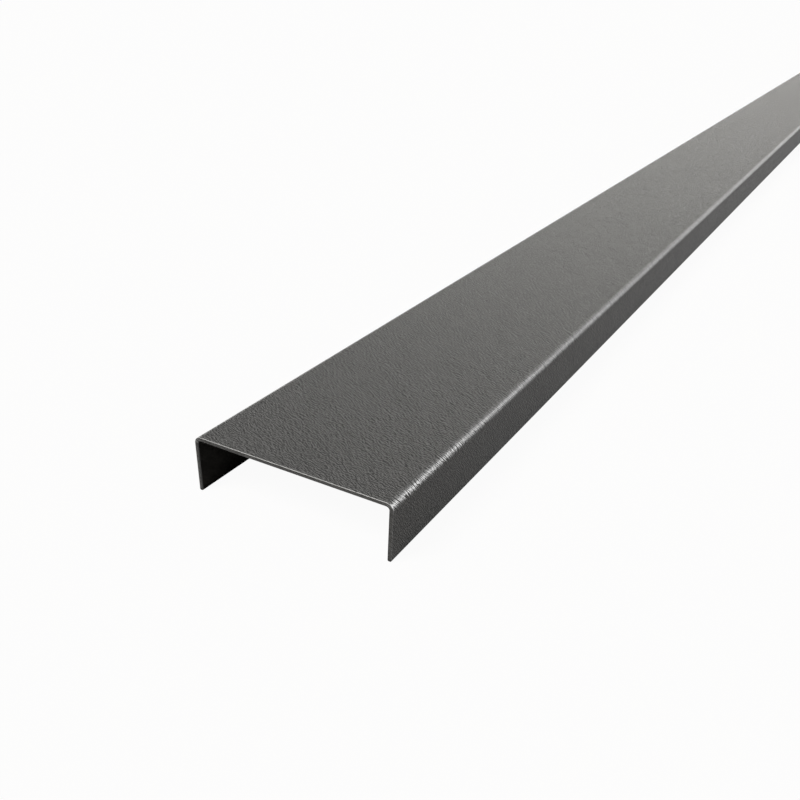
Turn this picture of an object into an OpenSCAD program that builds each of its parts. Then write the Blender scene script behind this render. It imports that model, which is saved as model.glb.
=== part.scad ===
// Aluminium joint cover: one length of sheet folded twice into a shallow, open channel.
// The cover lies as it is used, web up and flanges down. X runs across it, Y along it, and Z up,
// with the origin under its middle, on the surface that the flange edges stand on.

/* [Section] */
// Width over the two bends
cover_w = 55; // [30:1:120]
// Height from the flange edges to the face of the web
cover_h = 15; // [10:0.5:40]
// Thickness of the aluminium sheet
sheet_t = 1; // [0.8:0.1:2]
// Inside radius of the two bends
bend_inner_r = 0.8; // [0.4:0.1:2]
// How far each flange is closed past square, in degrees, so that the cover grips the joint
toe_in = 1; // [0:0.5:3]
// Rounding of the slit edges that run along the flanges
edge_r = 0.35; // [0.1:0.05:0.35]

/* [Length] */
// Length of the piece as it is sold
cover_l = 2000; // [500:50:3000]

/* [Hidden] */

coat_colour = [0.33, 0.33, 0.32];
round_faces = 96;

bend_outer_r = bend_inner_r + sheet_t;
// Each bend turns about this point, which is given here for the bend on the right.
bend_x = cover_w / 2 - bend_outer_r;
bend_z = cover_h - bend_outer_r;
// A flange leans in, so the outer corner of its slit edge is the part of it that touches the floor.
// The flange is measured down from the centre of its bend, and brings that rounded corner to Z = 0.
corner_across = bend_outer_r - edge_r;
flange_l = (bend_z - corner_across * sin(toe_in) - edge_r) / cos(toe_in) + edge_r;

// A rectangle from its lower left corner to its upper right one.
module plate(from, to) {
    translate(from) square(to - from);
}

// The flat top of the section, from one bend to the other.
module web_section() {
    plate([-bend_x, cover_h - sheet_t], [bend_x, cover_h]);
}

// One bend about its own centre: a ring, kept from straight up round to where the flange starts.
// The squares that keep it reach well past it, so that only their sides through its centre cut it.
module bend_section() {
    reach = 2 * bend_outer_r;
    intersection() {
        difference() {
            circle(r = bend_outer_r, $fn = round_faces);
            circle(r = bend_inner_r, $fn = round_faces);
        }
        union() {
            plate([0, 0], [reach, reach]);
            rotate(-toe_in) plate([0, 0], [reach, bend_outer_r]);
        }
    }
}

// One flange, hanging from its bend's centre, with both corners of its slit edge rounded.
module flange_section() {
    difference() {
        plate([bend_inner_r, -flange_l], [bend_outer_r, 0]);
        slit_corner_waste(bend_inner_r, 1);
        slit_corner_waste(bend_outer_r, -1);
    }
}

// What the rounding takes off one corner of the slit edge. The face of the flange is at x, and
// inward is 1 or -1, whichever points into the sheet.
module slit_corner_waste(x, inward) {
    centre = [x + inward * edge_r, edge_r - flange_l];
    difference() {
        plate([min(x, centre.x), -flange_l], [max(x, centre.x), centre.y]);
        translate(centre) circle(r = edge_r, $fn = round_faces);
    }
}

// The right half of what hangs from the web: its bend and its flange, closed by the toe-in.
module side_section() {
    translate([bend_x, bend_z]) {
        bend_section();
        rotate(-toe_in) flange_section();
    }
}

// The whole section, as the end of the cover shows it.
module cover_section() {
    web_section();
    side_section();
    mirror([1, 0]) side_section();
}

// The cover itself: the section drawn along its length, with square sawn ends.
module joint_cover() {
    color(coat_colour)
        translate([0, cover_l / 2, 0])
            rotate([90, 0, 0])
                linear_extrude(height = cover_l)
                    cover_section();
}

joint_cover();
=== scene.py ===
# %% [markdown]
# A folded aluminium joint cover, modelled and coated in Blender.
# The real piece is one strip of aluminium sheet, folded along both long sides into a shallow channel
# and coated dark grey, with a fine wrinkled texture. It is laid over the joint between two panels.
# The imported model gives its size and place, and this lesson builds the same piece again with smooth
# bends, eased edges and its coating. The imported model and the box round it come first.

# %% Load the frame
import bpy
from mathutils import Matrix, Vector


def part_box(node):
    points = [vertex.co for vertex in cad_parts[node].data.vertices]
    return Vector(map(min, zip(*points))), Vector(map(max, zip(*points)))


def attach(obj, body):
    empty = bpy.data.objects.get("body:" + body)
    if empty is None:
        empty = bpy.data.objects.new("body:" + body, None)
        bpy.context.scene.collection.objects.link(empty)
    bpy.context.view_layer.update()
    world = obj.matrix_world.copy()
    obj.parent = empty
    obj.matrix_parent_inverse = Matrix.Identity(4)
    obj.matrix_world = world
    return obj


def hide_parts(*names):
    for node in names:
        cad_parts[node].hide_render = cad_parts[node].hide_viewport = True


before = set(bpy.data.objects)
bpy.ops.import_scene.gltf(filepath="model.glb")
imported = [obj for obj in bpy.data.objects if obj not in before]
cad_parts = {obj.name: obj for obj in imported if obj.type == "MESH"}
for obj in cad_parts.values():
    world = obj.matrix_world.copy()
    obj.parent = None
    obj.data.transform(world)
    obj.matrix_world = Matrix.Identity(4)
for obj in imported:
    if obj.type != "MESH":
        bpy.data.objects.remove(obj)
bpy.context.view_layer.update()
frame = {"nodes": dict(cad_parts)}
print(f"the packed model holds {', '.join(frame['nodes'])}")

# %% [markdown]
# No size of the whole cover is typed in here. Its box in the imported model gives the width, the length
# and the height, so the two models can't drift apart. Blender counts in metres and sheet metal is
# measured in millimetres, so every length below is written as a number times MM.

# %% Read the sizes that the frame gives
import math

import bmesh
import bpy
from mathutils import Matrix, Vector

MM = 0.001
low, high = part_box("joint_cover")
width, length, height = high - low
near_end = low.y
print(f"the cover is {width / MM:.1f} x {length / MM:.1f} x {height / MM:.1f} mm")

# %% [markdown]
# The camera comes first, because every later choice is judged through it.
# It stands to the right of the near end and looks down along the cover. Its place is measured from
# the middle of the near end, on the floor. The focal length is given in pixels of the 800 pixel
# picture, and the lens in millimetres follows from it and from the width of the sensor.

# %% Place the camera
PICTURE_SIDE = 800
FOCAL_PIXELS = 873.65
CAMERA_PLACE = Vector((103.96, -132.98, 117.72)) * MM
CAMERA_AZIMUTH = math.radians(29.597)
CAMERA_ELEVATION = math.radians(26.932)
CAMERA_ROLL = math.radians(1.506)
NEAREST_SEEN = 0.01
FURTHEST_SEEN = 100


def camera_turn(azimuth, elevation, roll):
    """Turns a camera to look level along +Y at azimuth 0, then round, down and over by the roll."""
    back = Vector((
        math.sin(azimuth) * math.cos(elevation),
        -math.cos(azimuth) * math.cos(elevation),
        math.sin(elevation),
    ))
    level = Vector((0, 0, 1)).cross(back).normalized()
    upright = back.cross(level)
    across = level * math.cos(roll) + upright * math.sin(roll)
    up = upright * math.cos(roll) - level * math.sin(roll)
    return Matrix((across, up, back)).transposed()


bpy.ops.object.camera_add()
camera = bpy.context.object
camera.name = "camera"
camera.data.lens = camera.data.sensor_width * FOCAL_PIXELS / PICTURE_SIDE
turn = camera_turn(CAMERA_AZIMUTH, CAMERA_ELEVATION, CAMERA_ROLL)
camera.matrix_world = Matrix.Translation(Vector((0, near_end, 0)) + CAMERA_PLACE) @ turn.to_4x4()
camera.data.clip_start = NEAREST_SEEN
camera.data.clip_end = FURTHEST_SEEN
bpy.context.scene.camera = camera
print(f"a {camera.data.lens:.1f} mm lens at {[round(v, 3) for v in camera.location]}")

# %% [markdown]
# The floor is a plain pale sheet, far larger than the cover.

# %% Lay the floor
FLOOR_SIZE = 60

bpy.ops.object.select_all(action="DESELECT")
bpy.ops.mesh.primitive_plane_add(size=FLOOR_SIZE, location=(0, 0, low.z))
floor = bpy.context.object
floor.name = "studio_floor"
print(f"a floor {FLOOR_SIZE} m wide, under the edges that the cover stands on")

# %% [markdown]
# Paper that is only lit would need far more light than the cover does to look white. So to the
# camera, and to rays that leave a glossy or clear surface, most of its white is a plain glow. The
# rest is the lit paper, which keeps the soft shadow that seats the cover.
# A material is a graph of nodes. The helpers below place one node each and feed its inputs, with a
# plain value or with what another node puts out, and every later material uses them.

# %% Give the floor its white
FLOOR_COLOUR = (0.61, 0.575, 0.545, 1)
GLOW_SHARE = 0.95
COLUMN_WIDTH = 200
ROW_HEIGHT = 180


def add_node(tree, kind, spot, **settings):
    """Adds a node at a spot in the editor, counted in columns and rows, with these settings."""
    node = tree.nodes.new(kind)
    node.location = (spot[0] * COLUMN_WIDTH, -spot[1] * ROW_HEIGHT)
    for name, value in settings.items():
        setattr(node, name, value)
    return node


def feed(tree, socket, value):
    """Feeds an input with another node's output, or sets it to a plain number, vector or colour."""
    if isinstance(value, bpy.types.NodeSocket):
        tree.links.new(value, socket)
    else:
        socket.default_value = value


def add_math(tree, operation, spot, *values):
    """A Math node, with one value for each of its inputs."""
    node = add_node(tree, "ShaderNodeMath", spot, operation=operation)
    for socket, value in zip(node.inputs, values):
        feed(tree, socket, value)
    return node.outputs["Value"]


def seen_directly(tree):
    """1 for a ray from the camera or from a glossy or clear surface, and 0 for any other."""
    ray = add_node(tree, "ShaderNodeLightPath", (-4, 0)).outputs
    mirrored = add_math(tree, "ADD", (-3, 0), ray["Is Glossy Ray"], ray["Is Transmission Ray"])
    return add_math(tree, "ADD", (-2, 0), ray["Is Camera Ray"], mirrored)


floor_paper = bpy.data.materials.new("floor_paper")
floor_paper.use_nodes = True
tree = floor_paper.node_tree
paper = tree.nodes["Principled BSDF"]
feed(tree, paper.inputs["Base Color"], FLOOR_COLOUR)
feed(tree, paper.inputs["Roughness"], 1)
feed(tree, paper.inputs["Specular IOR Level"], 0)
glow = add_node(tree, "ShaderNodeEmission", (0, 2))
blend = add_node(tree, "ShaderNodeMixShader", (2, 1))
feed(tree, blend.inputs["Fac"], add_math(tree, "MULTIPLY", (-1, 0), seen_directly(tree), GLOW_SHARE))
feed(tree, blend.inputs[1], paper.outputs["BSDF"])
feed(tree, blend.inputs[2], glow.outputs["Emission"])
feed(tree, tree.nodes["Material Output"].inputs["Surface"], blend.outputs["Shader"])
floor.data.materials.append(floor_paper)
print(f"{GLOW_SHARE:.0%} of the floor's white is a glow")

# %% [markdown]
# The studio round the cover does the same. It lights the cover only faintly and from all sides, as
# the walls of a room do, and it looks white where the camera or a mirrored ray meets it.

# %% Fill the studio with even light
STUDIO_FILL = 0.1

world = bpy.data.worlds.new("studio")
bpy.context.scene.world = world
world.use_nodes = True
tree = world.node_tree
fill = tree.nodes["Background"]
feed(tree, fill.inputs["Color"], (1, 1, 1, 1))
level = add_math(tree, "MULTIPLY_ADD", (-1, 0), seen_directly(tree), 1 - STUDIO_FILL, STUDIO_FILL)
feed(tree, fill.inputs["Strength"], level)
bpy.context.scene.view_settings.view_transform = "Standard"
print(f"an even light of {STUDIO_FILL} from all round")

# %% [markdown]
# One soft light stands in front of the near left corner, and gives each face its tone. Three more only
# show in the coating's sheen, as the reflections of softboxes do: one to the right draws the bright
# line along the bend, and two low behind lighten the web towards its far end, a little warmer.
# Area lights would fade along two metres of sheet. Sun lamps with a wide angle act like softboxes that
# stand far off, so the whole cover is lit evenly.

# %% Hang the lamps
WARM_WHITE = (1, 0.97, 0.91)


def add_lamp(name, toward, strength, degrees_wide, only_in_sheen=False, colour=(1, 1, 1)):
    """A sun lamp that stands in the direction `toward` and shines on the cover."""
    bpy.ops.object.light_add(type="SUN")
    lamp = bpy.context.object
    lamp.name = name
    lamp.rotation_euler = Vector(toward).to_track_quat("Z", "Y").to_euler()
    lamp.data.energy = strength
    lamp.data.color = colour
    lamp.data.angle = math.radians(degrees_wide)
    lamp.visible_diffuse = not only_in_sheen
    print(f"{name} at strength {strength}")


add_lamp("key_light", toward=(-0.36, -0.52, 0.78), strength=3.35, degrees_wide=30)
add_lamp(
    "bend_light", toward=(0.82, 0.29, 0.47), strength=22.5, degrees_wide=54, only_in_sheen=True
)
add_lamp(
    "left_light", toward=(-0.72, 0.68, 0.10), strength=0.40, degrees_wide=36, only_in_sheen=True,
    colour=WARM_WHITE,
)
add_lamp(
    "back_light", toward=(-0.20, 0.98, 0.04), strength=0.92, degrees_wide=36, only_in_sheen=True,
    colour=WARM_WHITE,
)

# %% [markdown]
# The cover is made the way the real one is: a flat skin is folded, and only then given its thickness.
# An extruded outline would do for the shape too, but a folded skin keeps each bend a true arc of even
# strips, and that is what the light along a bend shows first. Only the right half is modelled, and a
# mirror makes the left one. The sheet's thickness and the bend's radius can't be read from a box, so
# they are given here. The web is cut into lengths of 125 mm, over which the coating's pattern will
# come back.

# %% Start with half of the flat web
SHEET = 1.0 * MM
BEND_INSIDE = 0.8 * MM
BEND_OUTSIDE = BEND_INSIDE + SHEET
REPEAT = 125 * MM
SHORTEST_LONG_EDGE = 10 * MM

bend_x = width / 2 - BEND_OUTSIDE
bend_z = height - BEND_OUTSIDE
repeats = round(length / REPEAT)


def select_edges(piece, test):
    """In edit mode, selects the edges for which the test is true, and gives back how many."""
    bpy.ops.mesh.select_mode(type="EDGE")
    bpy.ops.mesh.select_all(action="DESELECT")
    mesh = bmesh.from_edit_mesh(piece.data)
    found = [edge for edge in mesh.edges if test(edge)]
    for edge in found:
        edge.select = True
    mesh.select_flush_mode()
    bmesh.update_edit_mesh(piece.data)
    return len(found)


def runs_along(edge):
    """True for an edge that runs along the cover."""
    start, end = (vert.co for vert in edge.verts)
    return abs(end.y - start.y) > SHORTEST_LONG_EDGE


bpy.ops.object.select_all(action="DESELECT")
bpy.ops.mesh.primitive_plane_add(size=1, calc_uvs=False, location=(bend_x / 2, 0, height))
cover = bpy.context.object
cover.name = "folded_cover"
cover.scale = (bend_x, length, 1)
bpy.ops.object.transform_apply(location=True, rotation=True, scale=True)
bpy.ops.object.mode_set(mode="EDIT")
select_edges(cover, runs_along)
bpy.ops.mesh.subdivide(number_cuts=repeats - 1)
print(f"half a web, {bend_x / MM:.1f} mm wide, in {repeats} lengths")

# %% [markdown]
# A press brake folds the strip along a straight line, and the sheet rolls round in a small arc.
# Spinning the long edge about the centre of the bend makes that arc. A bevel on a sharp corner would
# round it too, but a spin takes the real radius and angle as they are. It goes one degree past square,
# because the flanges are closed in a little so that they grip the joint.

# %% Fold the bend
TOE_IN = math.radians(1)
BEND_STEPS = 20
SNAP = 0.01 * MM

bend_turn = math.radians(90) + TOE_IN


def at_bend_line(edge):
    """True for a long edge where the flat web ends."""
    return runs_along(edge) and all(vert.co.x > bend_x - SNAP for vert in edge.verts)


select_edges(cover, at_bend_line)
bpy.ops.mesh.spin(steps=BEND_STEPS, angle=bend_turn, center=(bend_x, 0, bend_z), axis=(0, -1, 0))
bend_end = next(vert.co for vert in bmesh.from_edit_mesh(cover.data).verts if vert.select)
print(f"the bend ends at x {bend_end.x / MM:.3f}, z {bend_end.z / MM:.3f} mm")

# %% [markdown]
# The flange carries straight on from the end of the bend, and leans in by the same degree. The cover
# stands on the rounded corners at the foot of its flanges, so the flange's length isn't free: it
# follows from the height, the lean and the rounding. The spin has left the end of the bend selected,
# so one extrude draws the flange out of it.

# %% Draw the flange down
SLIT_EDGE = 0.35 * MM

corner_out = BEND_OUTSIDE - SLIT_EDGE
flange = (bend_z - corner_out * math.sin(TOE_IN) - SLIT_EDGE) / math.cos(TOE_IN) + SLIT_EDGE
down_flange = Vector((-math.sin(TOE_IN), 0, -math.cos(TOE_IN)))
bpy.ops.mesh.extrude_edges_move(TRANSFORM_OT_translate={"value": down_flange * flange})
bpy.ops.object.mode_set(mode="OBJECT")
print(f"a flange of {flange / MM:.2f} mm")

# %% [markdown]
# Now the skin is mirrored, welded along the middle and turned to face outwards. Spinning and mirroring
# can leave faces that point the wrong way, so all normals are put right here, while the skin is still
# open and single. The thickness that comes next goes to whichever side they call the inside.

# %% Mirror the skin


def apply_modifier(piece, kind, **settings):
    """Adds a modifier with these settings to the piece and applies it."""
    modifier = piece.modifiers.new(kind.title(), kind)
    for name, value in settings.items():
        setattr(modifier, name, value)
    bpy.context.view_layer.objects.active = piece
    bpy.ops.object.modifier_apply(modifier=modifier.name)


apply_modifier(cover, "MIRROR", use_axis=(True, False, False), merge_threshold=SNAP)
bpy.ops.object.mode_set(mode="EDIT")
bpy.ops.mesh.select_all(action="SELECT")
bpy.ops.mesh.remove_doubles(threshold=SNAP / 10)
bpy.ops.mesh.normals_make_consistent(inside=False)
bpy.ops.object.mode_set(mode="OBJECT")
web_up = max(cover.data.polygons, key=lambda face: face.area).normal.z
print(f"the web faces {'up' if web_up > 0 else 'down'}")

# %% [markdown]
# The skin is the outside of the cover, so the sheet's thickness goes to the inside of it, and the
# outside keeps its size. Even offset keeps the sheet as thick round the bends as on the flats.
# The sheet has a coat of its own on each side, so the new inner skin gets the second material.

# %% Give the sheet its thickness
face_coat = bpy.data.materials.new("textured_face_coat")
reverse_coat = bpy.data.materials.new("thin_reverse_coat")
cover.data.materials.append(face_coat)
cover.data.materials.append(reverse_coat)
apply_modifier(
    cover, "SOLIDIFY",
    thickness=SHEET, offset=-1 if web_up > 0 else 1, use_even_offset=True, material_offset=1,
)
reverse_faces = sum(face.material_index for face in cover.data.polygons)
print(f"{len(cover.data.polygons)} faces in a closed sheet, {reverse_faces} on the reverse side")

# %% [markdown]
# No edge on the real cover is sharp. The strip is slit to its width before it is folded, and its two
# long edges are left a little rounded. A bevel modifier would round every edge by the same amount, so
# the four corners that run along the slit edges are picked out by their place and bevelled alone.

# %% Round the slit edges
SLIT_STEPS = 6


def at_slit_edge(edge):
    """True for a long edge at the foot of a flange."""
    return runs_along(edge) and all(vert.co.z < SHEET / 4 for vert in edge.verts)


bpy.ops.object.mode_set(mode="EDIT")
slit_edges = select_edges(cover, at_slit_edge)
bpy.ops.mesh.bevel(offset=SLIT_EDGE, segments=SLIT_STEPS, profile=0.5, affect="EDGES")
print(f"{slit_edges} lengths of slit edge rounded")

# %% [markdown]
# The ends are sawn, brushed and coated, which leaves a smaller radius than slitting does. It is only
# 0.15 mm, but it catches the light as a fine line round each end. An edge belongs to it when one of
# its two faces looks along the cover and the other doesn't. The bevel takes the face coat's material,
# as the coating goes round the cut.

# %% Ease the sawn ends
END_EASE = 0.15 * MM
END_STEPS = 4
FACE_COAT_SLOT = 0


def is_sawn(face):
    """True for a face that looks along the cover."""
    return abs(face.normal.y) > 0.5


def on_end_outline(edge):
    """True for an edge between a sawn end and a face that runs along the cover."""
    if len(edge.link_faces) != 2 or any(abs(v.co.y) < length / 2 - SNAP for v in edge.verts):
        return False
    return is_sawn(edge.link_faces[0]) != is_sawn(edge.link_faces[1])


end_edges = select_edges(cover, on_end_outline)
bpy.ops.mesh.bevel(
    offset=END_EASE, segments=END_STEPS, profile=0.5, affect="EDGES", material=FACE_COAT_SLOT
)
bpy.ops.object.mode_set(mode="OBJECT")
print(f"{end_edges} edges eased round the two ends")

# %% [markdown]
# The bends are still made of flat strips. Smooth shading blends strips that meet at less than 40
# degrees into one curve. More strips would look round too, but they would cost many more faces.
# Smooth shading would also pull the large flat faces towards the bends beside them, so the normals
# are weighted by area, and flat stays flat.

# %% Shade it smooth
SMOOTH_UNDER = math.radians(40)

bpy.ops.object.select_all(action="DESELECT")
cover.select_set(True)
bpy.context.view_layer.objects.active = cover
bpy.ops.object.shade_smooth_by_angle(angle=SMOOTH_UNDER)
apply_modifier(cover, "WEIGHTED_NORMAL", mode="FACE_AREA", weight=100, keep_sharp=True)
heights = [vert.co.z / MM for vert in cover.data.vertices]
print(f"{len(cover.data.polygons)} faces, z {min(heights):.3f} to {max(heights):.3f} mm")

# %% [markdown]
# The cover also gets a flat map, so that its coating can be baked into one picture for other programs.
# Two metres of fine wrinkles would need a huge picture, but the coating below comes back every 125 mm.
# An automatic unwrap knows nothing of that. So the sheet is unrolled here as if it were unfolded
# again, and every length of it is laid on the same square: the face in the middle, and the plainer
# reverse side at half its width on either side of it. The two ends get a strip of their own above.

# %% Unroll the sheet onto a square
MAP_SIDE = 130 * MM
STRIP_GAP = 1 * MM
END_STRIP = REPEAT + STRIP_GAP + END_EASE
REVERSE_SHARE = 0.5

bend_girth = bend_x + bend_turn * BEND_OUTSIDE
girth = bend_girth + flange
out_of_flange = Vector((math.cos(TOE_IN), 0, -math.sin(TOE_IN)))


def place_in_section(point):
    """How far round the face a point lies from the middle of the web, and how deep in the sheet."""
    from_centre = Vector((abs(point.x) - bend_x, 0, point.z - bend_z))
    if from_centre.x <= 0:
        return abs(point.x), height - point.z
    turned = math.atan2(from_centre.x, from_centre.z)
    if turned < bend_turn:
        return bend_x + turned * BEND_OUTSIDE, BEND_OUTSIDE - from_centre.length
    return bend_girth + from_centre.dot(down_flange), BEND_OUTSIDE - from_centre.dot(out_of_flange)


def unroll(point, centre, at_end):
    """The place on the square of one corner of a face, which has this centre."""
    side = 1 if centre.x > 0 else -1
    around, deep = place_in_section(point)
    on_face = deep < SHEET / 2
    if at_end:
        in_from_end = length / 2 - abs(point.y)
        return side * around, END_STRIP + deep + (-in_from_end if on_face else in_from_end)
    across = around + deep if on_face else girth + deep + (girth - around) * REVERSE_SHARE
    tile = math.floor((centre.y - near_end) / REPEAT)
    return side * across, point.y - near_end - tile * REPEAT


flat_map = cover.data.uv_layers.new(name="OFBake")
for face in cover.data.polygons:
    corners = [cover.data.vertices[index].co for index in face.vertices]
    at_end = all(abs(corner.y) > length / 2 - END_EASE - SNAP for corner in corners)
    for loop, corner in zip(face.loop_indices, corners):
        across, along = unroll(corner, face.center, at_end)
        flat_map.data[loop].uv = ((across + MAP_SIDE / 2) / MAP_SIDE, along / MAP_SIDE)
spread = [value for loop in flat_map.data for value in loop.uv]
print(f"the map reaches from {min(spread):.3f} to {max(spread):.3f} of its square")

# %% [markdown]
# The coating is a dark grey textured one. As it cures, its skin wrinkles into short, shallow folds,
# about a millimetre apart, that run slightly askew across the strip.
# Noise makes such a texture, and here it is rolled up: the place along the strip becomes an angle on
# a circle, and the noise is read in four dimensions round that circle. The pattern then comes back
# without a seam after each repeat, which lets one small picture hold the coating when it is baked.
# It is a node group, because both coats use it, each at its own sizes.

# %% Make a noise that repeats along the strip
SLANT_ACROSS = 0.33
SLANT_DOWN = 0.8


def add_group_socket(group, name, direction, kind, value=None):
    """Adds a named input or output to a node group."""
    socket = group.interface.new_socket(name, in_out=direction, socket_type=kind)
    if value is not None:
        socket.default_value = value


def add_vector_math(tree, operation, spot, *values):
    """A Vector Math node, with one value for each of its inputs. It gives back all the outputs."""
    node = add_node(tree, "ShaderNodeVectorMath", spot, operation=operation)
    for socket, value in zip(node.inputs, values):
        feed(tree, socket, value)
    return node.outputs


def make_rolled_noise():
    """A node group: noise that repeats along Y, drawn out across the strip."""
    group = bpy.data.node_groups.new("rolled_noise", "ShaderNodeTree")
    add_group_socket(group, "Place", "INPUT", "NodeSocketVector")
    add_group_socket(group, "Size", "INPUT", "NodeSocketFloat", 1.0 * MM)
    add_group_socket(group, "Stretch", "INPUT", "NodeSocketFloat", 1.0)
    add_group_socket(group, "Detail", "INPUT", "NodeSocketFloat", 1.0)
    add_group_socket(group, "Value", "OUTPUT", "NodeSocketFloat")
    add_group_socket(group, "Color", "OUTPUT", "NodeSocketColor")
    given = add_node(group, "NodeGroupInput", (-6, 0)).outputs
    result = add_node(group, "NodeGroupOutput", (3, 0)).inputs

    slant = (SLANT_ACROSS, 1, SLANT_DOWN)
    along = add_vector_math(group, "DOT_PRODUCT", (-5, 1), given["Place"], slant)["Value"]
    angle = add_math(group, "MULTIPLY", (-4, 1), along, math.tau / REPEAT)
    radius = add_math(group, "DIVIDE", (-4, 2), REPEAT / math.tau, given["Size"])
    cosine = add_math(group, "MULTIPLY", (-2, 1), add_math(group, "COSINE", (-3, 1), angle), radius)
    sine = add_math(group, "MULTIPLY", (-2, 2), add_math(group, "SINE", (-3, 2), angle), radius)

    split = add_node(group, "ShaderNodeSeparateXYZ", (-5, -1))
    feed(group, split.inputs["Vector"], given["Place"])
    fold_length = add_math(group, "MULTIPLY", (-4, 0), given["Size"], given["Stretch"])
    across = add_math(group, "DIVIDE", (-3, -1), split.outputs["X"], fold_length)
    down = add_math(group, "DIVIDE", (-3, 0), split.outputs["Z"], fold_length)

    join = add_node(group, "ShaderNodeCombineXYZ", (-1, 0))
    for socket, value in zip(join.inputs, (across, down, cosine)):
        feed(group, socket, value)
    noise = add_node(group, "ShaderNodeTexNoise", (1, 0), noise_dimensions="4D")
    feed(group, noise.inputs["Scale"], 1)
    feed(group, noise.inputs["Vector"], join.outputs["Vector"])
    feed(group, noise.inputs["W"], sine)
    feed(group, noise.inputs["Detail"], given["Detail"])
    feed(group, result["Value"], noise.outputs["Fac"])
    feed(group, result["Color"], noise.outputs["Color"])
    return group


rolled_noise = make_rolled_noise()
print(f"noise that comes back every {REPEAT / MM:.0f} mm")

# %% [markdown]
# Plain noise also holds broad, soft clouds, in which fine wrinkles would be lost. Taking away the same
# noise, read a little further on, cancels them, and narrow ridges and valleys are left: the wrinkles.
# They come out around 0.5, with as much above it as below.

# %% Narrow the noise to wrinkles
NOISE_MIDDLE = 0.5
WRINKLE_STEP = 0.2 * MM
WRINKLE_GAIN = 1.5


def make_wrinkle_noise():
    """A node group: rolled noise less the same noise a step further along the strip."""
    group = bpy.data.node_groups.new("wrinkle_noise", "ShaderNodeTree")
    add_group_socket(group, "Place", "INPUT", "NodeSocketVector")
    add_group_socket(group, "Size", "INPUT", "NodeSocketFloat", 1.0 * MM)
    add_group_socket(group, "Stretch", "INPUT", "NodeSocketFloat", 1.0)
    add_group_socket(group, "Value", "OUTPUT", "NodeSocketFloat")
    given = add_node(group, "NodeGroupInput", (-4, 0)).outputs
    result = add_node(group, "NodeGroupOutput", (3, 0)).inputs

    step = (SLANT_ACROSS * WRINKLE_STEP, WRINKLE_STEP, 0)
    further = add_vector_math(group, "ADD", (-3, 1), given["Place"], step)["Vector"]
    values = []
    for row, source in enumerate((given["Place"], further)):
        noise = add_node(group, "ShaderNodeGroup", (-2, row), node_tree=rolled_noise)
        feed(group, noise.inputs["Place"], source)
        feed(group, noise.inputs["Size"], given["Size"])
        feed(group, noise.inputs["Stretch"], given["Stretch"])
        feed(group, noise.inputs["Detail"], 0)
        values.append(noise.outputs["Value"])
    gap = add_math(group, "SUBTRACT", (0, 0), values[0], values[1])
    centred = add_math(group, "MULTIPLY_ADD", (1, 0), gap, WRINKLE_GAIN, NOISE_MIDDLE)
    feed(group, result["Value"], centred)
    return group


wrinkle_noise = make_wrinkle_noise()
print(f"wrinkles from two readings {WRINKLE_STEP / MM:.1f} mm apart")

# %% [markdown]
# The coating isn't the same all over. Where the sheet is folded it is pulled over the bend, and over
# the eased ends it lies thin, and both places shine more than the flats. The painted light and shade
# of the wrinkles is calmer on the sawn faces and the flanges than on the web, a painted highlight
# lightens the top of each end, and painted shade darkens the slit edges and the inner edges of the
# flanges' ends. Such places could be painted by hand, but here they follow from the place alone. One
# group works out a mask for each of them, from the angle about the centre of the bend and from how
# near a point lies to an end or an edge. Each mask goes from 0 to 1 over a short way, so none has a
# hard rim.

# %% Find the bends
PULL_START = math.radians(-12)
PULL_MIDDLE = math.radians(46)
PULL_END = math.radians(106)
FLANGE_STARTS = math.radians(75)
FLANGE_IS_FULL = math.radians(100)


def add_ramp(tree, spot, value, start, end, low_value=0.0, high_value=1.0):
    """Goes smoothly from one value to another while its input goes from start to end."""
    node = add_node(tree, "ShaderNodeMapRange", spot, interpolation_type="SMOOTHSTEP")
    feed(tree, node.inputs["Value"], value)
    limits = {"From Min": start, "From Max": end, "To Min": low_value, "To Max": high_value}
    for name, limit in limits.items():
        feed(tree, node.inputs[name], limit)
    return node.outputs["Result"]


def place_from_bend(tree, split):
    """How far out and how far up a point lies from the centre of the nearer bend."""
    from_middle = add_math(tree, "ABSOLUTE", (-4, -1), split["X"])
    across = add_math(tree, "SUBTRACT", (-3, -1), from_middle, bend_x)
    above = add_math(tree, "SUBTRACT", (-3, 0), split["Z"], bend_z)
    return across, above


def bend_masks(tree, across, above):
    """Masks for the skin pulled over the bend, and for the flange."""
    turned = add_math(tree, "ARCTAN2", (-2, 0), across, above)
    rise = add_ramp(tree, (-1, -1), turned, PULL_START, PULL_MIDDLE)
    fall = add_ramp(tree, (-1, 0), turned, PULL_END, PULL_MIDDLE)
    on_flange = add_ramp(tree, (-1, 7), turned, FLANGE_STARTS, FLANGE_IS_FULL)
    return add_math(tree, "MULTIPLY", (1, 0), rise, fall), on_flange


print(f"the coating is pulled most {math.degrees(PULL_MIDDLE):.0f} degrees round each bend")

# %% [markdown]
# The ends and the edges are found the same way. The eased edge begins where the sheet starts to turn
# in towards the sawn face, and it stops short of the face itself. Its upper part is a mask of its own,
# because a painted highlight lightens only the top of each end. A flange leans in, so the place of its
# face moves in with the height, and how deep a point lies in the sheet is measured from there.

# %% Find the ends and the edges
EASE_SOFTNESS = 0.15 * END_EASE
EASE_STOPS = 0.8 * END_EASE
TOP_STARTS = height - 0.7 * SHEET
TOP_IS_FULL = height - 0.1 * SHEET
FOOT_STARTS = 1.8 * SLIT_EDGE
FOOT_IS_FULL = 1.1 * SLIT_EDGE
INNER_STARTS = 0.7 * SHEET
INNER_IS_FULL = 0.9 * SHEET


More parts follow.
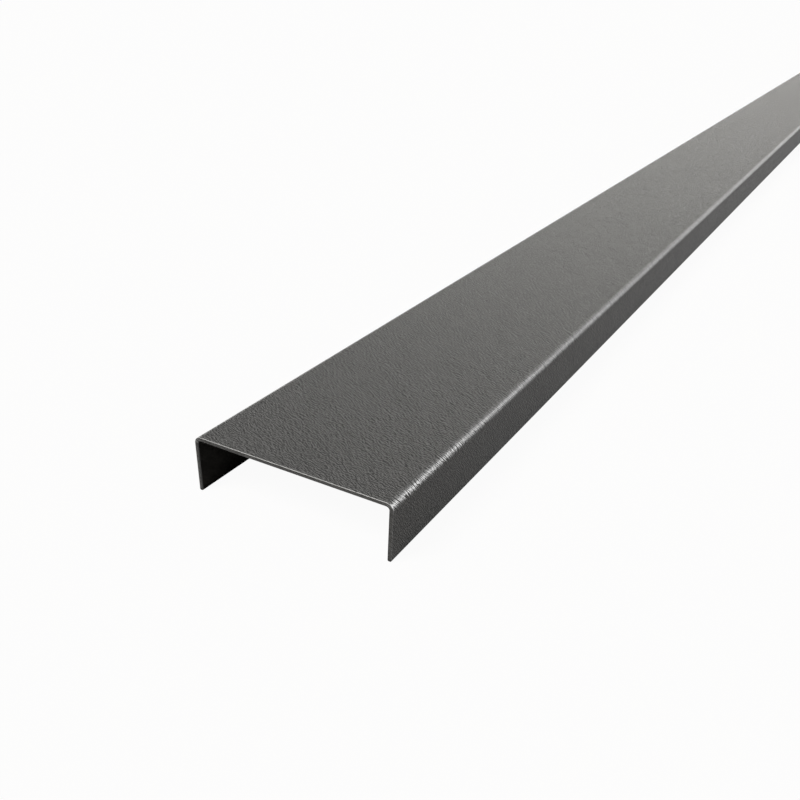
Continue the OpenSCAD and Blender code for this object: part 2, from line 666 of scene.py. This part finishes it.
def end_masks(tree, split):
    """Masks for the sawn ends, for their eased edges, and for the top part of those edges, which gets a
    painted highlight.
    """
    along = add_math(tree, "ABSOLUTE", (-4, 2), split["Y"])
    past = add_math(tree, "SUBTRACT", (-3, 2), along, length / 2 - END_EASE)
    begins = add_ramp(tree, (-1, 2), past, -EASE_SOFTNESS, EASE_SOFTNESS)
    stops = add_ramp(tree, (-1, 3), past, END_EASE, EASE_STOPS)
    sawn = add_math(tree, "SUBTRACT", (0, 4), 1, stops)
    eased = add_math(tree, "MULTIPLY", (0, 2), begins, stops)
    upper = add_ramp(tree, (-1, 4), split["Z"], TOP_STARTS, TOP_IS_FULL)
    return sawn, eased, add_math(tree, "MULTIPLY", (1, 3), eased, upper)


def shaded_edge_mask(tree, split, across, above, on_flange):
    """A mask for the painted shade on the slit edges and on the inner edge of each flange's end."""
    foot = add_ramp(tree, (-1, 5), split["Z"], FOOT_STARTS, FOOT_IS_FULL)
    face_out = add_math(tree, "MULTIPLY_ADD", (-2, 6), above, math.tan(TOE_IN), BEND_OUTSIDE)
    deep = add_math(tree, "SUBTRACT", (-1, 6), face_out, across)
    inner = add_ramp(tree, (0, 6), deep, INNER_STARTS, INNER_IS_FULL)
    inner_edge = add_math(tree, "MULTIPLY", (1, 6), inner, on_flange)
    return add_math(tree, "MAXIMUM", (1, 5), foot, inner_edge)


def make_coat_places():
    """A node group: a mask for each kind of place where the coating, and the light and shade painted on
    it, differ from the flat web.
    """
    group = bpy.data.node_groups.new("coat_places", "ShaderNodeTree")
    names = ("Bend", "Flange", "Sawn", "End", "Top End", "Shaded Edge")
    add_group_socket(group, "Place", "INPUT", "NodeSocketVector")
    for name in names:
        add_group_socket(group, name, "OUTPUT", "NodeSocketFloat")
    given = add_node(group, "NodeGroupInput", (-6, 0)).outputs
    result = add_node(group, "NodeGroupOutput", (2, 0)).inputs

    split_node = add_node(group, "ShaderNodeSeparateXYZ", (-5, 0))
    feed(group, split_node.inputs["Vector"], given["Place"])
    split = split_node.outputs
    across, above = place_from_bend(group, split)
    pulled, on_flange = bend_masks(group, across, above)
    sawn, eased, top = end_masks(group, split)
    shaded = shaded_edge_mask(group, split, across, above, on_flange)
    for name, mask in zip(names, (pulled, on_flange, sawn, eased, top, shaded)):
        feed(group, result[name], mask)
    return group


coat_places = make_coat_places()
print(f"masks for {END_EASE / MM:.2f} mm at the ends and {FOOT_STARTS / MM:.2f} mm at the slit edges")

# %% [markdown]
# The face coat is mixed in five steps: its wrinkles, their relief, its colour, its shine, its edges.
# Real wrinkles wander, so a broad noise first moves the place at which they are read by a fraction of
# a millimetre. A finer grain for the relief and a broad mottle for the tone come from the same noise
# at other sizes.

# %% Lay out the wrinkles of the face coat
DRIFT_SIZE = 5 * MM
DRIFT_REACH = 1.2 * MM
WRINKLE_SIZE = 0.33 * MM
WRINKLE_STRETCH = 2.7
GRAIN_SIZE = 0.22 * MM
GRAIN_STRETCH = 1.3
MOTTLE_SIZE = 4 * MM
MOTTLE_STRETCH = 1.2
MOTTLE_DETAIL = 2.0


def add_noise(tree, spot, source, size, stretch=1.0, detail=1.0):
    """Places the rolled noise in a material, and gives back its value and its colour."""
    node = add_node(tree, "ShaderNodeGroup", spot, node_tree=rolled_noise)
    feed(tree, node.inputs["Place"], source)
    feed(tree, node.inputs["Size"], size)
    feed(tree, node.inputs["Stretch"], stretch)
    feed(tree, node.inputs["Detail"], detail)
    return node.outputs


def add_wrinkles(tree, spot, source, size, stretch):
    """Places the wrinkle noise in a material."""
    node = add_node(tree, "ShaderNodeGroup", spot, node_tree=wrinkle_noise)
    feed(tree, node.inputs["Place"], source)
    feed(tree, node.inputs["Size"], size)
    feed(tree, node.inputs["Stretch"], stretch)
    return node.outputs["Value"]


face_coat.use_nodes = True
tree = face_coat.node_tree
place = add_node(tree, "ShaderNodeTexCoord", (-9, 0)).outputs["Object"]
drift = add_noise(tree, (-8, 1), place, DRIFT_SIZE)["Color"]
middle = (NOISE_MIDDLE, NOISE_MIDDLE, NOISE_MIDDLE)
reach = (DRIFT_REACH, DRIFT_REACH, DRIFT_REACH)
centred = add_vector_math(tree, "SUBTRACT", (-7, 1), drift, middle)["Vector"]
moved = add_vector_math(tree, "MULTIPLY_ADD", (-6, 0), centred, reach, place)["Vector"]
wrinkles = add_wrinkles(tree, (-4, 0), moved, WRINKLE_SIZE, WRINKLE_STRETCH)
grain = add_noise(tree, (-4, 2), place, GRAIN_SIZE, GRAIN_STRETCH)["Value"]
mottle = add_noise(tree, (-4, -2), place, MOTTLE_SIZE, MOTTLE_STRETCH, MOTTLE_DETAIL)["Value"]
print(f"wrinkles {WRINKLE_STRETCH} times as long as they are wide")

# %% [markdown]
# The wrinkles are less than a tenth of a millimetre deep. Modelled, they would take millions of
# faces, so a Bump node tilts the shading instead. Its distance is the depth, in metres, that the noise
# would give if it went all the way from 0 to 1. On the flanges the relief is a fifth less.

# %% Raise the wrinkles
WRINKLE_DEPTH = 0.15 * MM
GRAIN_SHARE = 0.25
FLANGE_RELIEF_LOSS = 0.2

coat = tree.nodes["Principled BSDF"]
places_node = add_node(tree, "ShaderNodeGroup", (-4, 4), node_tree=coat_places)
feed(tree, places_node.inputs["Place"], place)
masks = places_node.outputs
folds = add_math(tree, "MULTIPLY_ADD", (-2, 2), grain, GRAIN_SHARE, wrinkles)
relief_kept = add_math(tree, "MULTIPLY_ADD", (-3, 3), masks["Flange"], -FLANGE_RELIEF_LOSS, 1)
relief = add_math(tree, "MULTIPLY", (-2, 3), folds, relief_kept)
bump = add_node(tree, "ShaderNodeBump", (-1, 2))
feed(tree, bump.inputs["Strength"], 1)
feed(tree, bump.inputs["Distance"], WRINKLE_DEPTH)
feed(tree, bump.inputs["Height"], relief)
feed(tree, coat.inputs["Normal"], bump.outputs["Normal"])
print(f"a bump distance of {WRINKLE_DEPTH / MM:.2f} mm")

# %% [markdown]
# The colour reads the same wrinkles, with painted shade in the valleys and painted light on the
# ridges, so that this painted light and shade lies on the relief. A bump alone would leave the coating
# flat wherever the light is soft. A broad mottle adds the coating's own uneven tone. On the sawn ends
# and the flanges the painted light and shade is calmer, and the tone is drawn towards one value a
# little darker than the web's mean, which is painted shade on those faces.

# %% Colour the face coat, with painted light and shade on its wrinkles
# The dark colour carries the painted shade of the valleys, the light one the painted light of the
# ridges.
COAT_DARK_PAINTED_SHADE = (0.0350, 0.0346, 0.0334, 1)
COAT_LIGHT_PAINTED_LIGHT = (0.1155, 0.1143, 0.1104, 1)
MOTTLE_SHARE = 0.15
DARKEST_AT = 0.34
LIGHTEST_AT = 0.66
CALM_SHADED_TONE = 0.40
SAWN_CALM = 0.6
FLANGE_CALM = 0.15


def add_mix(tree, kind, spot, share, first, second):
    """A Mix node for numbers or colours, which takes this share of the second."""
    node = add_node(tree, "ShaderNodeMix", spot, data_type=kind)
    feed(tree, node.inputs["Factor"], share)
    feed(tree, node.inputs["A"], first)
    feed(tree, node.inputs["B"], second)
    return node.outputs["Result"]


clouds = add_math(tree, "MULTIPLY", (-3, -2), mottle, MOTTLE_SHARE)
tone = add_math(tree, "MULTIPLY_ADD", (-2, -2), wrinkles, 1 - MOTTLE_SHARE, clouds)
painted_relief = add_ramp(tree, (-2, -3), tone, DARKEST_AT, LIGHTEST_AT)
sawn_calm = add_math(tree, "MULTIPLY", (-3, -4), masks["Sawn"], SAWN_CALM)
flange_calm = add_math(tree, "MULTIPLY", (-3, -5), masks["Flange"], FLANGE_CALM)
calm = add_math(tree, "MAXIMUM", (-2, -4), sawn_calm, flange_calm)
# The calm tone, a little darker than the mean, is painted shade on the flanges and sawn ends.
lightness = add_mix(tree, "FLOAT", (-1, -4), calm, painted_relief, CALM_SHADED_TONE)
relief_painted_colour = add_mix(tree, "RGBA", (-1, -2), lightness, COAT_DARK_PAINTED_SHADE, COAT_LIGHT_PAINTED_LIGHT)
print("the coat is dark in its valleys and lighter on its ridges")

# %% [markdown]
# The flats are matt, with hardly any mirror in them. A second, glossier coat layer lies only where
# the coating is pulled over a bend or lies thin over an eased end. Over a bend the wrinkles are drawn
# out into streaks, so a long, narrow wrinkle noise is added to the bend's mask before it is ramped.
# Each streak then reaches a different way out on to the flats, as a feathered edge. The ramp starts
# where the streaks alone can't reach, which keeps the flats clear of them.

# %% Give the face coat its shine
COAT_SHEEN = 0.053
COAT_ROUGHNESS = 0.45
VALLEY = 0.3
RIDGE = 0.7
VALLEY_ROUGHNESS = 0.5
RIDGE_ROUGHNESS = 0.42
STREAK_SIZE = 0.27 * MM
STREAK_STRETCH = 7.0
STREAK_LOW = 0.28
STREAK_HIGH = 0.72
STREAK_REACH = 1.0
END_SHINE = 0.8

feed(tree, coat.inputs["Specular IOR Level"], COAT_SHEEN)
feed(tree, coat.inputs["Coat Roughness"], COAT_ROUGHNESS)
roughness = add_ramp(tree, (-1, 0), tone, VALLEY, RIDGE, VALLEY_ROUGHNESS, RIDGE_ROUGHNESS)
feed(tree, coat.inputs["Roughness"], roughness)

drawn_out = add_wrinkles(tree, (-5, 6), moved, STREAK_SIZE, STREAK_STRETCH)
half_reach = STREAK_REACH / 2
streaks = add_ramp(tree, (-4, 6), drawn_out, STREAK_LOW, STREAK_HIGH, -half_reach, half_reach)
feathered = add_math(tree, "ADD", (-3, 4), masks["Bend"], streaks)
bend_shine = add_ramp(tree, (-2, 4), feathered, half_reach, 1.0)
end_shine = add_math(tree, "MULTIPLY", (-2, 5), masks["End"], END_SHINE)
feed(tree, coat.inputs["Coat Weight"], add_math(tree, "MAXIMUM", (-1, 4), bend_shine, end_shine))
print(f"streaks {STREAK_STRETCH:.0f} times as long as they are wide")

# %% [markdown]
# Last come the edges. A painted highlight lightens the top of each end, and the streaks over the bends
# a very little. Painted shade makes the slit edges and the inner edges of the flanges' ends the darkest
# places of the coat. Each effect is one more Mix over the colour so far, with its mask as the share,
# and the painted shade is laid over the painted highlights.

# %% Paint highlights and shade on the edges
EDGE_PAINTED_HIGHLIGHT = (0.39, 0.384, 0.371, 1)
BEND_PAINTED_HIGHLIGHT = 0.07
EDGE_PAINTED_SHADE = (0.014, 0.0138, 0.0134, 1)
EDGE_SHADE_SHARE = 0.9

# Painted highlights: the top of each end, and faintly the streaks over the bends.
bend_painted_highlight = add_math(tree, "MULTIPLY", (-1, 6), bend_shine, BEND_PAINTED_HIGHLIGHT)
painted_highlight = add_math(tree, "MAXIMUM", (-1, 5), masks["Top End"], bend_painted_highlight)
highlighted_colour = add_mix(tree, "RGBA", (0, -2), painted_highlight, relief_painted_colour, EDGE_PAINTED_HIGHLIGHT)
# Painted shade on the slit edges and on the inner edges of the flanges' ends.
edge_share = add_math(tree, "MULTIPLY", (0, -4), masks["Shaded Edge"], EDGE_SHADE_SHARE)
shaded_colour = add_mix(tree, "RGBA", (1, -2), edge_share, highlighted_colour, EDGE_PAINTED_SHADE)
feed(tree, coat.inputs["Base Color"], shaded_colour)
print(f"the face coat is a graph of {len(tree.nodes)} nodes")

# %% [markdown]
# The reverse side, inside the channel, is coloured a matt, nearly black grey. It needs no wrinkles, but
# a faint cloudiness keeps it from looking like plastic. The same rolled noise gives it, broad and soft.

# %% Mix the reverse coat
REVERSE_DARK = (0.020, 0.0197, 0.0188, 1)
REVERSE_LIGHT = (0.031, 0.0305, 0.0290, 1)
REVERSE_ROUGHNESS = 0.85
CLOUD_SIZE = 2.5 * MM
CLOUD_DETAIL = 2.0
CLOUD_LOW = 0.3
CLOUD_HIGH = 0.7

reverse_coat.use_nodes = True
tree = reverse_coat.node_tree
reverse = tree.nodes["Principled BSDF"]
feed(tree, reverse.inputs["Specular IOR Level"], 0)
feed(tree, reverse.inputs["Roughness"], REVERSE_ROUGHNESS)
place = add_node(tree, "ShaderNodeTexCoord", (-4, 0)).outputs["Object"]
cloudiness = add_noise(tree, (-3, 0), place, CLOUD_SIZE, detail=CLOUD_DETAIL)["Value"]
lightness = add_ramp(tree, (-2, 0), cloudiness, CLOUD_LOW, CLOUD_HIGH)
reverse_colour = add_mix(tree, "RGBA", (-1, 0), lightness, REVERSE_DARK, REVERSE_LIGHT)
feed(tree, reverse.inputs["Base Color"], reverse_colour)
print(f"the reverse coat is a graph of {len(tree.nodes)} nodes")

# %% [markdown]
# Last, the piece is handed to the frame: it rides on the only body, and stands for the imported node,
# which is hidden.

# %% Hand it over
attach(cover, "root")
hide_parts("joint_cover")


print(f"{cover.name} is one piece with {len(cover.data.materials)} coats")
